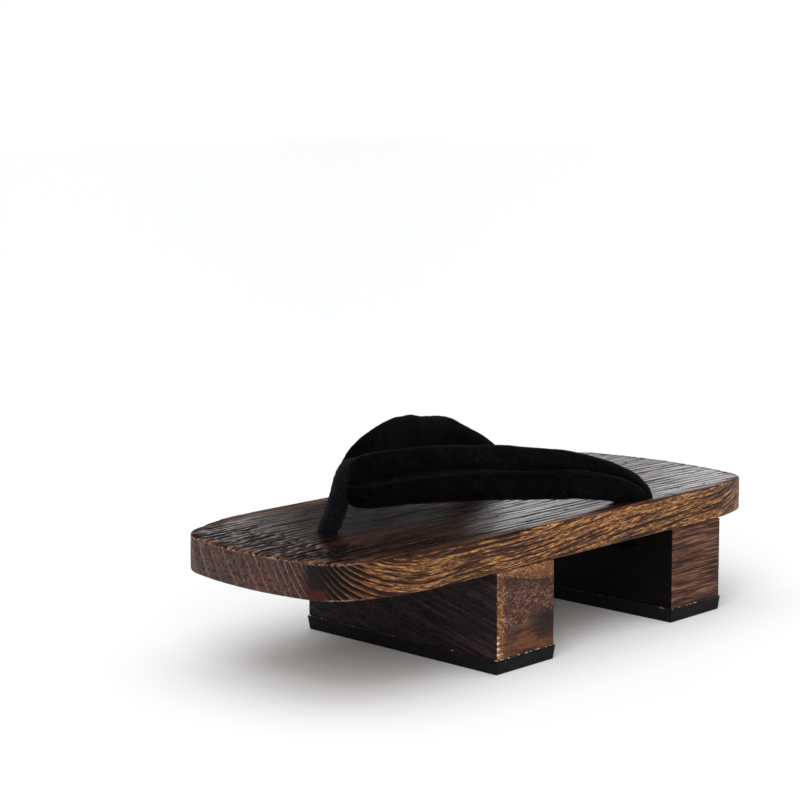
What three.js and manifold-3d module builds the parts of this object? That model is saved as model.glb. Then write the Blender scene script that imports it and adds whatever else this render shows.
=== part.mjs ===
// A two-toothed wooden geta sandal: a flat deck on two cross teeth, a rubber tread under each tooth,
// and a padded V strap whose toe thong and two rear tails pass through the deck to plain knots.
// Millimetres. +X is the wearer's right, +Y points to the toe, +Z up. The origin is under the middle, on the floor.

import * as THREE from 'three';
import { mergeVertices } from 'three/addons/utils/BufferGeometryUtils.js';
import Module from 'manifold-3d';

const wasm = await Module();
wasm.setup();

// ---- Driving dimensions ----

const deckLength = 261.5;
const deckWidth = 105;
const deckThickness = 14.5;
const edgeEase = 0.9;

const toothThickness = 34.3;
const toothHeight = 34.5;
const toothGap = 77;
const teethMiddleY = -24.75;
const toothCornerEase = 0.6;

const treadThickness = 5.8;
const treadProud = 0.5;
const treadTaper = 0.7;

const cordDiameter = 7;
const fitGap = 0.3;
const knotDiameter = 12.5;
const knotHeight = 7;
const toeHole = { x: 0, y: 87.2 };
const heelHole = { x: 42.5, y: -46.8 };

const halfWidth = deckWidth / 2;
const halfLength = deckLength / 2;
const deckUnderside = treadThickness + toothHeight;
const footbed = deckUnderside + deckThickness;
const toothOffset = (toothGap + toothThickness) / 2;

// Each end of the deck: a shallow end arc, a tight corner and a long shoulder that leads into the straight side.
const deckEnds = {
  toe: { side: 1, endRadius: 140, cornerRadius: 20, shoulderRadius: 85, shoulderStartY: 80 },
  heel: { side: -1, endRadius: 150, cornerRadius: 14, shoulderRadius: 85, shoulderStartY: -90 },
};

// The two padded bands, each from the toe junction back to its heel hole. y and out place a section's centre in
// plan, mid is its height above the footbed, width runs across the band, lean tips its top inward, and pitch turns
// it down into the deck. The straps are soft and sit unevenly: the right band stands higher than the left one.
// Lengths in mm, angles in degrees.
const leftBandSections = [
  { y: 80.2, out: 3.4, mid: 17.0, width: 13.0, thick: 3.4, lean: 2, pitch: 6 },
  { y: 79.0, out: 3.8, mid: 17.2, width: 18.0, thick: 7.2, lean: 2, pitch: 6 },
  { y: 75.8, out: 4.6, mid: 17.7, width: 21.0, thick: 8.8, lean: 4, pitch: 5 },
  { y: 69.0, out: 7.4, mid: 18.8, width: 21.6, thick: 9.2, lean: 9, pitch: 0 },
  { y: 57.0, out: 12.2, mid: 19.3, width: 22.2, thick: 9.4, lean: 16, pitch: 0 },
  { y: 42.0, out: 18.0, mid: 18.8, width: 22.9, thick: 9.5, lean: 22, pitch: 2 },
  { y: 25.0, out: 24.2, mid: 17.8, width: 23.0, thick: 9.5, lean: 26, pitch: 5 },
  { y: 5.0, out: 30.8, mid: 16.0, width: 22.0, thick: 9.5, lean: 26, pitch: 7 },
  { y: -15.0, out: 37.0, mid: 13.7, width: 20.2, thick: 9.5, lean: 22, pitch: 10 },
  { y: -28.0, out: 40.6, mid: 11.1, width: 18.0, thick: 9.6, lean: 15, pitch: 20 },
  { y: -37.0, out: 42.7, mid: 8.3, width: 16.6, thick: 9.6, lean: 8, pitch: 39 },
  { y: -43.5, out: 43.9, mid: 4.6, width: 16.2, thick: 9.6, lean: 4, pitch: 66 },
  { y: -46.8, out: 44.3, mid: 0.3, width: 16.4, thick: 9.4, lean: 0, pitch: 90 },
];
const rightBandSections = [
  { y: 76.6, out: 3.0, mid: 15.6, width: 12.0, thick: 3.4, lean: 2, pitch: 26 },
  { y: 75.2, out: 3.4, mid: 16.2, width: 17.0, thick: 7.2, lean: 2, pitch: 26 },
  { y: 72.0, out: 4.6, mid: 17.8, width: 20.5, thick: 8.8, lean: 4, pitch: 25 },
  { y: 66.0, out: 7.6, mid: 20.4, width: 22.8, thick: 9.2, lean: 9, pitch: 18 },
  { y: 56.0, out: 12.2, mid: 23.8, width: 24.0, thick: 9.4, lean: 16, pitch: 9 },
  { y: 42.0, out: 18.0, mid: 25.1, width: 24.4, thick: 9.5, lean: 22, pitch: 3 },
  { y: 25.0, out: 24.2, mid: 24.6, width: 24.2, thick: 9.5, lean: 26, pitch: 4 },
  { y: 5.0, out: 30.8, mid: 22.1, width: 23.2, thick: 9.5, lean: 26, pitch: 6 },
  { y: -15.0, out: 37.0, mid: 18.8, width: 21.6, thick: 9.5, lean: 22, pitch: 10 },
  { y: -29.0, out: 40.6, mid: 16.0, width: 20.2, thick: 9.6, lean: 15, pitch: 18 },
  { y: -39.6, out: 42.8, mid: 12.6, width: 19.0, thick: 9.6, lean: 8, pitch: 35 },
  { y: -46.2, out: 43.9, mid: 7.2, width: 18.0, thick: 9.6, lean: 4, pitch: 62 },
  { y: -47.6, out: 44.3, mid: 0.3, width: 16.6, thick: 9.4, lean: 0, pitch: 90 },
];

// The toe thong, from inside the toe hole up over the front of the junction and back between the bands.
const thongSections = [
  { y: 87.2, mid: -17.0, wide: 7.0, deep: 7.0, pitch: 90 },
  { y: 87.2, mid: 0.0, wide: 7.0, deep: 7.0, pitch: 90 },
  { y: 86.9, mid: 1.2, wide: 9.0, deep: 8.6, pitch: 84 },
  { y: 83.2, mid: 6.7, wide: 8.4, deep: 8.0, pitch: 64 },
  { y: 79.9, mid: 14.7, wide: 8.0, deep: 7.6, pitch: 70 },
  { y: 77.6, mid: 20.6, wide: 8.2, deep: 7.4, pitch: 66 },
  { y: 74.6, mid: 26.0, wide: 9.0, deep: 7.2, pitch: 54 },
  { y: 70.4, mid: 29.4, wide: 9.6, deep: 6.8, pitch: 32 },
  { y: 65.4, mid: 30.2, wide: 9.6, deep: 6.0, pitch: 0 },
  { y: 60.4, mid: 27.6, wide: 8.4, deep: 4.6, pitch: -34 },
];

const outlineSteps = 14;
const bandSides = 20;
const thongSides = 12;
const stepsPerSection = 2;
const creaseDepth = 0.16;
const creaseSpread = 0.2;
const sectionFullness = 2.6;

// ---- Materials ----

const burntWood = { color: 0x4a2a1c, roughness: 0.5, metalness: 0 };
const blackRubber = { color: 0x161616, roughness: 0.8, metalness: 0 };
const blackVelvet = { color: 0x0d0d0f, roughness: 0.95, metalness: 0 };

// ---- Solids ----

const degrees = (angle) => (angle * Math.PI) / 180;

function toSolid(geometry) {
  const bare = geometry.clone();
  bare.deleteAttribute('normal');
  bare.deleteAttribute('uv');
  const merged = mergeVertices(bare, 1e-4);
  const mesh = new wasm.Mesh({
    numProp: 3,
    vertProperties: new Float32Array(merged.attributes.position.array),
    triVerts: new Uint32Array(merged.index.array),
  });
  return new wasm.Manifold(mesh);
}

function toGeometry(solid) {
  const mesh = solid.getMesh();
  const geometry = new THREE.BufferGeometry();
  geometry.setAttribute('position', new THREE.BufferAttribute(new Float32Array(mesh.vertProperties), 3));
  geometry.setIndex(new THREE.BufferAttribute(new Uint32Array(mesh.triVerts), 1));
  const loose = geometry.toNonIndexed();
  loose.computeVertexNormals();
  return loose;
}

function joined(geometries) {
  const solids = geometries.map(toSolid);
  return solids.reduce((whole, solid) => whole.add(solid));
}

function namedMesh(name, geometry, finish) {
  const mesh = new THREE.Mesh(geometry, new THREE.MeshStandardMaterial(finish));
  mesh.name = name;
  return mesh;
}

function upright(shape, height, bottomZ) {
  const geometry = new THREE.ExtrudeGeometry(shape, { depth: height, bevelEnabled: false });
  return geometry.translate(0, 0, bottomZ);
}

function roundBar(diameter, height, x, y, bottomZ) {
  const bar = new THREE.CylinderGeometry(diameter / 2, diameter / 2, height, 16);
  return bar.rotateX(Math.PI / 2).translate(x, y, bottomZ + height / 2);
}

// A closed skin over rings of points: quads between neighbours, and a fan on each end.
function skin(rings) {
  const sides = rings[0].length;
  const points = rings.flat();
  const faces = [];
  for (let r = 0; r < rings.length - 1; r += 1) {
    for (let k = 0; k < sides; k += 1) {
      const a = r * sides + k;
      const b = r * sides + ((k + 1) % sides);
      faces.push(a, b, b + sides, a, b + sides, a + sides);
    }
  }
  for (const [ring, flip] of [[rings[0], true], [rings[rings.length - 1], false]]) {
    const first = flip ? 0 : (rings.length - 1) * sides;
    const hub = points.length;
    const sum = ring.reduce((total, point) => total.add(point), new THREE.Vector3());
    points.push(sum.multiplyScalar(1 / sides));
    for (let k = 0; k < sides; k += 1) {
      const a = first + k;
      const b = first + ((k + 1) % sides);
      faces.push(...(flip ? [b, a, hub] : [a, b, hub]));
    }
  }
  const geometry = new THREE.BufferGeometry().setFromPoints(points);
  geometry.setIndex(faces);
  return geometry;
}

// ---- Deck ----

// Centre of a circle of the given radius that touches two larger circles from inside, on the outer side.
function centreTouching(a, b, radius, side) {
  const fromA = a.radius - radius;
  const fromB = b.radius - radius;
  const span = Math.hypot(b.x - a.x, b.y - a.y);
  const along = (fromA ** 2 - fromB ** 2 + span ** 2) / (2 * span);
  const away = Math.sqrt(fromA ** 2 - along ** 2);
  const ux = (b.x - a.x) / span;
  const uy = (b.y - a.y) / span;
  return { x: a.x + along * ux - side * away * uy, y: a.y + along * uy + side * away * ux, radius };
}

// One end of the outline on the right side, from the straight side round to the middle of the end.
function endArcs({ side, endRadius, cornerRadius, shoulderRadius, shoulderStartY }) {
  const shoulder = { x: halfWidth - shoulderRadius, y: shoulderStartY, radius: shoulderRadius };
  const end = { x: 0, y: side * (halfLength - endRadius), radius: endRadius };
  const corner = centreTouching(shoulder, end, cornerRadius, side);
  const leave = Math.atan2(corner.y - shoulder.y, corner.x - shoulder.x);
  const arrive = Math.atan2(corner.y - end.y, corner.x - end.x);
  return [
    { ...shoulder, from: 0, to: leave },
    { ...corner, from: leave, to: arrive },
    { ...end, from: arrive, to: (side * Math.PI) / 2 },
  ];
}

function arcPoints({ x, y, radius, from, to }, steps) {
  const points = [];
  for (let k = 0; k <= steps; k += 1) {
    const angle = from + ((to - from) * k) / steps;
    points.push(new THREE.Vector2(x + radius * Math.cos(angle), y + radius * Math.sin(angle)));
  }
  return points;
}

function deckOutline() {
  const quarter = (end) => endArcs(end).flatMap((arc) => arcPoints(arc, outlineSteps));
  const toeRight = quarter(deckEnds.toe);
  const heelRight = quarter(deckEnds.heel).reverse();
  const right = [...heelRight, ...toeRight];
  const left = right.map((point) => new THREE.Vector2(-point.x, point.y)).reverse();
  const all = [...right, ...left];
  const apart = all.filter((point, k) => point.distanceTo(all[(k + 1) % all.length]) > 0.01);
  return new THREE.Shape(apart);
}

function deck() {
  const blank = new THREE.ExtrudeGeometry(deckOutline(), {
    depth: deckThickness,
    bevelEnabled: true,
    bevelThickness: edgeEase,
    bevelSize: edgeEase,
    bevelOffset: -edgeEase,
    bevelSegments: 2,
  });
  blank.translate(0, 0, footbed - edgeEase - deckThickness);
  const below = new THREE.BoxGeometry(2 * deckWidth, 2 * deckLength, deckThickness);
  below.translate(0, 0, deckUnderside - deckThickness / 2);
  const holes = [toeHole, heelHole, { x: -heelHole.x, y: heelHole.y }].map(({ x, y }) =>
    roundBar(cordDiameter + 2 * fitGap, 2 * deckThickness, x, y, deckUnderside - deckThickness / 2),
  );
  const board = toSolid(blank).subtract(toSolid(below));
  return toGeometry(holes.reduce((left, hole) => left.subtract(toSolid(hole)), board));
}

// ---- Teeth and treads ----

function tooth(middleY) {
  const x = halfWidth;
  const y = toothThickness / 2;
  const ease = toothCornerEase;
  const corners = [
    [x - ease, -y], [x, -y + ease], [x, y - ease], [x - ease, y],
    [-x + ease, y], [-x, y - ease], [-x, -y + ease], [-x + ease, -y],
  ];
  const shape = new THREE.Shape(corners.map(([px, py]) => new THREE.Vector2(px, py + middleY)));
  return upright(shape, toothHeight, treadThickness);
}

// A rubber slab a little larger than its tooth, with its sides drawn in towards the floor.
function tread(middleY) {
  const slab = new THREE.BoxGeometry(
    deckWidth + 2 * treadProud,
    toothThickness + 2 * treadProud,
    treadThickness,
  );
  const corner = slab.attributes.position;
  for (let k = 0; k < corner.count; k += 1) {
    if (corner.getZ(k) < 0) {
      corner.setX(k, corner.getX(k) - Math.sign(corner.getX(k)) * treadTaper);
      corner.setY(k, corner.getY(k) - Math.sign(corner.getY(k)) * treadTaper);
    }
  }
  return slab.translate(0, middleY, treadThickness / 2);
}

// ---- Straps ----

// The rows of a section table with evenly spaced rows added between them, on smooth curves.
function refined(rows, steps) {
  const names = Object.keys(rows[0]);
  const count = (rows.length - 1) * steps;
  const made = Array.from({ length: count + 1 }, () => ({}));
  for (const name of names) {
    const values = rows.map((row) => row[name]);
    for (let k = 0; k <= count; k += 1) {
      const at = k / steps;
      const i = Math.min(Math.floor(at), rows.length - 2);
      const t = at - i;
      const before = values[Math.max(i - 1, 0)];
      const after = values[Math.min(i + 2, rows.length - 1)];
      const slopeHere = (values[i + 1] - before) / (i > 0 ? 2 : 1);
      const slopeNext = (after - values[i]) / (i < rows.length - 2 ? 2 : 1);
      made[k][name] = hermite(values[i], values[i + 1], slopeHere, slopeNext, t);
    }
  }
  return made;
}

function hermite(a, b, slopeA, slopeB, t) {
  const t2 = t * t;
  const t3 = t2 * t;
  return (2 * t3 - 3 * t2 + 1) * a + (t3 - 2 * t2 + t) * slopeA + (3 * t2 - 2 * t3) * b + (t3 - t2) * slopeB;
}

// A full, soft-cornered section with a sewn crease along the middle of its outer face.
function bandRing(centre, across, outward, width, thick) {
  const ring = [];
  for (let k = 0; k < bandSides; k += 1) {
    const angle = (2 * Math.PI * k) / bandSides;
    const c = Math.cos(angle);
    const s = Math.sin(angle);
    const power = 2 / sectionFullness;
    const w = Math.sign(s) * Math.abs(s) ** power;
    const crease = c > 0 ? 1 - creaseDepth * Math.exp(-((w / creaseSpread) ** 2)) : 1;
    const n = Math.sign(c) * Math.abs(c) ** power * crease;
    const point = centre.clone();
    point.addScaledVector(across, (w * width) / 2);
    point.addScaledVector(outward, (n * thick) / 2);
    ring.push(point);
  }
  return ring;
}

// side is 1 for the right band and -1 for the left one.
function band(sections, side) {
  const rows = refined(sections, stepsPerSection);
  const rings = rows.map((row, k) => {
    const ahead = rows[Math.max(k - 1, 0)];
    const behind = rows[Math.min(k + 1, rows.length - 1)];
    const plan = new THREE.Vector3(side * (behind.out - ahead.out), behind.y - ahead.y, 0).normalize();
    const away = new THREE.Vector3(-side * plan.y, side * plan.x, 0);
    const pitch = degrees(row.pitch);
    const lean = degrees(row.lean);
    const up = new THREE.Vector3(0, 0, Math.cos(pitch)).addScaledVector(plan, Math.sin(pitch));
    const across = up.clone().multiplyScalar(Math.cos(lean)).addScaledVector(away, -Math.sin(lean));
    const face = away.clone().multiplyScalar(Math.cos(lean)).addScaledVector(up, Math.sin(lean));
    const centre = new THREE.Vector3(side * row.out, row.y, footbed + row.mid);
    return bandRing(centre, across, face, row.width, row.thick);
  });
  return skin(side > 0 ? rings : rings.map((ring) => ring.reverse()));
}

function thong() {
  const rings = refined(thongSections, stepsPerSection).map((row) => {
    const pitch = degrees(row.pitch);
    const ahead = new THREE.Vector3(0, Math.sin(pitch), Math.cos(pitch));
    const ring = [];
    for (let k = 0; k < thongSides; k += 1) {
      const angle = (2 * Math.PI * k) / thongSides;
      const point = new THREE.Vector3((Math.cos(angle) * row.wide) / 2, row.y, footbed + row.mid);
      ring.push(point.addScaledVector(ahead, (Math.sin(angle) * row.deep) / 2));
    }
    return ring;
  });
  return skin(rings);
}

// A plain round knot just under the deck.
function knot(x, y) {
  const steps = 8;
  const profile = [];
  for (let k = 0; k <= steps; k += 1) {
    const angle = -Math.PI / 2 + (Math.PI * k) / steps;
    const radius = (knotDiameter / 2) * Math.max(Math.cos(angle), 0) ** 0.7;
    profile.push(new THREE.Vector2(k % steps === 0 ? 0 : radius, (knotHeight / 2) * Math.sin(angle)));
  }
  const lump = new THREE.LatheGeometry(profile, 16).rotateX(Math.PI / 2);
  return lump.translate(x, y, deckUnderside - fitGap - knotHeight / 2);
}

function straps() {
  const tails = [];
  for (const side of [-1, 1]) {
    const x = side * heelHole.x;
    const bottom = deckUnderside - fitGap - knotHeight / 2;
    tails.push(roundBar(cordDiameter, footbed + 1 - bottom, x, heelHole.y, bottom), knot(x, heelHole.y));
  }
  const bands = [band(leftBandSections, -1), band(rightBandSections, 1)];
  const solids = [...bands, thong(), knot(toeHole.x, toeHole.y), ...tails];
  return toGeometry(joined(solids));
}

// ---- The sandal ----

const sandal = new THREE.Group();
const frontToothY = teethMiddleY + toothOffset;
const rearToothY = teethMiddleY - toothOffset;
sandal.add(namedMesh('deck', deck(), burntWood));
sandal.add(namedMesh('front_tooth', tooth(frontToothY), burntWood));
sandal.add(namedMesh('rear_tooth', tooth(rearToothY), burntWood));
sandal.add(namedMesh('front_tread', tread(frontToothY), blackRubber));
sandal.add(namedMesh('rear_tread', tread(rearToothY), blackRubber));
sandal.add(namedMesh('straps', straps(), blackVelvet));

export default sandal;
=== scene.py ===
"""A wooden geta sandal: burnt and brushed deck and teeth, rubber treads, and a padded black velvet V strap.

Lengths in the tables are in mm, and MM turns them into metres. +X is the wearer's right, +Y the toe, +Z up.
"""

import math

import bmesh
import bpy
from mathutils import Matrix, Vector, kdtree, noise


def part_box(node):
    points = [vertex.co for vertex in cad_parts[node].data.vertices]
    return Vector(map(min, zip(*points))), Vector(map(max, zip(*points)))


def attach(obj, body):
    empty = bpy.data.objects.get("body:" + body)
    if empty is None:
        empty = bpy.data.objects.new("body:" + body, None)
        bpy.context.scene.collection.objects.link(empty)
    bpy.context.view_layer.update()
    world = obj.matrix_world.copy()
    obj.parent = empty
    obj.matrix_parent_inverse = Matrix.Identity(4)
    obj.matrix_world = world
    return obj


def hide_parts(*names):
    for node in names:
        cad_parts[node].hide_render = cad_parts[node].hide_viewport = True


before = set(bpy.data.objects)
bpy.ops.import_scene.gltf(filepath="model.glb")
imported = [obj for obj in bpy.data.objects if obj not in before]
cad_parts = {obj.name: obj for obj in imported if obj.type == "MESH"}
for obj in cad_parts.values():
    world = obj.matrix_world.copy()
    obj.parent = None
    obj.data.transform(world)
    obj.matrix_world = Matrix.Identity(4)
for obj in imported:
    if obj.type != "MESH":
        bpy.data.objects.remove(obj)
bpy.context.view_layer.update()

MM = 0.001
X, Y, Z = 0, 1, 2

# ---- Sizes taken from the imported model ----

DECK_LOW, DECK_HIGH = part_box("deck")
UNDERSIDE = DECK_LOW.z
FOOTBED = DECK_HIGH.z
HALF_WIDTH = DECK_HIGH.x
HALF_LENGTH = DECK_HIGH.y

# ---- Wood ----

TOE_HOLE = Vector((0, 87.2 * MM, 0))
RIGHT_HOLE = Vector((42.5 * MM, -46.8 * MM, 0))
LEFT_HOLE = Vector((-42.5 * MM, -46.8 * MM, 0))
HOLES = (TOE_HOLE, RIGHT_HOLE, LEFT_HOLE)
HOLE_WIDTH = 7.6 * MM
OUTLINE_WELD = 0.05 * MM
# The radii of an end's arcs, and how far from the middle of the board its shoulders start.
TOE_END = {"end": 140 * MM, "corner": 20 * MM, "shoulder": 85 * MM, "starts": 80 * MM}
HEEL_END = {"end": 150 * MM, "corner": 14 * MM, "shoulder": 85 * MM, "starts": 90 * MM}
DECK_EASE = 0.9 * MM
TOOTH_EASE = 0.45 * MM

RING_TILT = math.radians(59)
DECK_BRUSHED = 0.8 * MM
TOOTH_BRUSHED = 0.35 * MM
# How far the brush marks are drawn out along x, y and z, in mm.
LONG_GROOVES = (2.4, 34, 2.4)
SHORT_GROOVES = (3.6, 9, 3.6)
FRONT_TOOTH_GROOVES = (16, 2.0, 2.0)
REAR_TOOTH_GROOVES = (16, 9, 2.0)

# The meshes are cut into slices this thick, along x, y and z. The toe's end has finer ones along y.
DECK_SLICES = (0.6 * MM, 2.4 * MM, 1.1 * MM)
TOE_SLICE = 0.7 * MM
TOE_SLICES_FROM, TOE_SLICES_TO = 100 * MM, 127 * MM
TOOTH_SLICES = (2.2 * MM, 0.9 * MM, 0.9 * MM)

# ---- Rubber, glue and cord ----

TREAD_TAPER = 0.7 * MM
TREAD_EASE = 0.35 * MM
TREAD_SLICES = (2.5 * MM, 2.5 * MM, 1.2 * MM)
GLUE_RADIUS = 0.35 * MM
GLUE_LUMPS = (5 * MM, 0.9 * MM)
KNOT_DROP = 3.8 * MM
KNOT_RADIUS = 3.6 * MM
KNOT_CORD_RADIUS = 2.3 * MM
KNOT_SPREAD = 0.7 * MM
KNOT_TIP = 14
KNOT_TAIL_RADIUS = 3.2 * MM
KNOT_TAIL_LENGTH = 6.4 * MM
KNOT_TAIL_RISE = 1 * MM
KNOT_TAIL_EASE = 0.9 * MM

# ---- Unevenness of the cloth: how far across, and how high ----

BAND_DENTS = (11 * MM, 0.9 * MM)
BAND_NAP = (1.6 * MM, 0.22 * MM)
THONG_TUFTS = (1.3 * MM, 0.5 * MM)
CORD_TUFTS = (1.3 * MM, 0.3 * MM)

# ---- Camera ----

CAMERA_AIM = Vector((0.16, 46.53, 102.08)) * MM
CAMERA_DISTANCE = 822.31 * MM
CAMERA_AZIMUTH = math.radians(224.14)
CAMERA_RISE = math.radians(8.294)
CAMERA_ROLL = math.radians(-0.2447)
CAMERA_LENS = 93.42

# ---- Room ----

# How bright the walls are, from the toe's end and the sides at 0 to the heel's end at 1.
WALL_GLOW = [
    (0.0, 0.25), (0.71, 0.48), (0.74, 0.02), (0.78, 0.01), (0.81, 0.66), (0.835, 0.32), (0.87, 0.9),
]
TO_HEEL = (0.1, -1.0, 0.0)


# ---- Working by hand ----

def put_down():
    """Leaves edit mode and lets go of everything."""
    if bpy.context.object and bpy.context.object.mode != "OBJECT":
        bpy.ops.object.mode_set(mode="OBJECT")
    bpy.ops.object.select_all(action="DESELECT")


def take(piece):
    put_down()
    piece.select_set(True)
    bpy.context.view_layer.objects.active = piece


def edit(piece):
    """Opens a piece for editing, with all of it selected."""
    take(piece)
    bpy.ops.object.mode_set(mode="EDIT")
    bpy.ops.mesh.select_all(action="SELECT")


def named(name):
    """Names what was just added, and puts its place into its mesh."""
    piece = bpy.context.object
    piece.name = name
    piece.data.name = name
    bpy.ops.object.transform_apply(location=True, rotation=True, scale=True)
    return piece


def pick(piece, kind, test):
    """Selects the edges or faces that pass the test, and nothing else, in edit mode."""
    bpy.ops.mesh.select_all(action="DESELECT")
    bpy.ops.mesh.select_mode(type=kind)
    shape = bmesh.from_edit_mesh(piece.data)
    for part in {"EDGE": shape.edges, "FACE": shape.faces}[kind]:
        if test(part):
            part.select_set(True)
    shape.select_flush_mode()
    bmesh.update_edit_mesh(piece.data)


def slice_along(axis, low, high, step):
    """Cuts the piece in edit mode into even slices along one axis."""
    count = max(1, round((high - low) / step))
    across = [0, 0, 0]
    across[axis] = 1
    for k in range(1, count):
        place = [0, 0, 0]
        place[axis] = low + (high - low) * k / count
        bpy.ops.mesh.select_all(action="SELECT")
        bpy.ops.mesh.bisect(plane_co=place, plane_no=across)


def slice_box(low, high, steps):
    for axis in (X, Y, Z):
        slice_along(axis, low[axis], high[axis], steps[axis])


def ease(width, segments):
    """Rounds the edges that are selected."""
    bpy.ops.mesh.bevel(offset=width, segments=segments, affect="EDGES")


def apply(piece, kind, **settings):
    """Adds a modifier with these settings and applies it."""
    take(piece)
    bpy.ops.object.modifier_add(type=kind)
    modifier = piece.modifiers[-1]
    for name, value in settings.items():
        setattr(modifier, name, value)
    bpy.ops.object.modifier_apply(modifier=modifier.name)


def face_out(piece):
    edit(piece)
    bpy.ops.mesh.remove_doubles(threshold=0.01 * MM)
    bpy.ops.mesh.normals_make_consistent(inside=False)
    put_down()


def smooth(piece, angle):
    take(piece)
    bpy.ops.object.shade_smooth_by_angle(angle=math.radians(angle))


def block(name, low, high):
    put_down()
    bpy.ops.mesh.primitive_cube_add(size=1, location=(low + high) / 2, scale=high - low)
    return named(name)


def bore(piece, width, places):
    """Drills upright holes through a piece."""
    for place in places:
        put_down()
        bpy.ops.mesh.primitive_cylinder_add(vertices=40, radius=width / 2, depth=1, location=place)
        bit = bpy.context.object
        apply(piece, "BOOLEAN", operation="DIFFERENCE", object=bit, solver="EXACT")
        bpy.data.objects.remove(bit)


def weigh(piece, group, weights):
    """Paints a vertex group with a weight for each vertex."""
    painted = piece.vertex_groups.new(name=group)
    for index, weight in enumerate(weights):
        if weight > 0:
            painted.add([index], min(weight, 1), "REPLACE")


def write_values(piece, name, values):
    """Stores one number for each vertex, which a finish can read."""
    store = piece.data.attributes.new(name, "FLOAT", "POINT")
    store.data.foreach_set("value", values)


def roughen(piece, name, lumps, level=0.5):
    """Raises soft lumps on a piece, and sinks dents between them."""
    size, height = lumps
    texture = bpy.data.textures.new(name, "CLOUDS")
    texture.noise_scale = size
    texture.noise_depth = 2
    apply(piece, "DISPLACE", texture=texture, strength=height, mid_level=level)


def ramp(value, low, high):
    """Rises smoothly from 0 at low to 1 at high."""
    t = max(0.0, min(1.0, (value - low) / (high - low)))
    return t * t * (3 - 2 * t)


# ---- Shader building ----

def tint(code):
    """A linear colour from a six-digit paint code."""
    parts = [int(code[k:k + 2], 16) / 255 for k in (0, 2, 4)]
    return [p / 12.92 if p <= 0.04045 else ((p + 0.055) / 1.055) ** 2.4 for p in parts] + [1.0]


class Nodes:
    """Short words for building the nodes of a material or of the room."""

    def __init__(self, tree):
        self.tree = tree

    def add(self, kind, inputs=(), **settings):
        made = self.tree.nodes.new(kind)
        for name, value in settings.items():
            setattr(made, name, value)
        for key, value in dict(inputs).items():
            self.feed(made.inputs[key], value)
        return made

    def feed(self, socket, value):
        """Links or sets an input. A colour may be given by its paint code."""
        if isinstance(value, bpy.types.NodeSocket):
            self.tree.links.new(value, socket)
        else:
            socket.default_value = tint(value) if isinstance(value, str) else value

    def math(self, operation, a, b=0.0, clamp=False):
        return self.add("ShaderNodeMath", {0: a, 1: b}, operation=operation, use_clamp=clamp).outputs[0]

    def plus(self, first, *more):
        for value in more:
            first = self.math("ADD", first, value)
        return first

    def minus(self, a, b, clamp=False):
        return self.math("SUBTRACT", a, b, clamp)

    def times(self, first, *more):
        for value in more:
            first = self.math("MULTIPLY", first, value)
        return first

    def between(self, value, low, high, to_low=0.0, to_high=1.0):
        """Changes smoothly from to_low, where the value is low, to to_high, where it is high."""
        made = self.add("ShaderNodeMapRange", {
            "Value": value, "From Min": low, "From Max": high, "To Min": to_low, "To Max": to_high,
        }, interpolation_type="SMOOTHSTEP")
        return made.outputs[0]

    def curve(self, value, stops):
        """Colours or grey levels at stops along the value, from 0 to 1."""
        made = self.add("ShaderNodeValToRGB", {"Fac": value})
        elements = made.color_ramp.elements
        while len(elements) < len(stops):
            elements.new(0.5)
        for element, (at, colour) in zip(elements, stops):
            element.position = at
            element.color = tint(colour) if isinstance(colour, str) else (colour, colour, colour, 1)
        return made.outputs["Color"]


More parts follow.
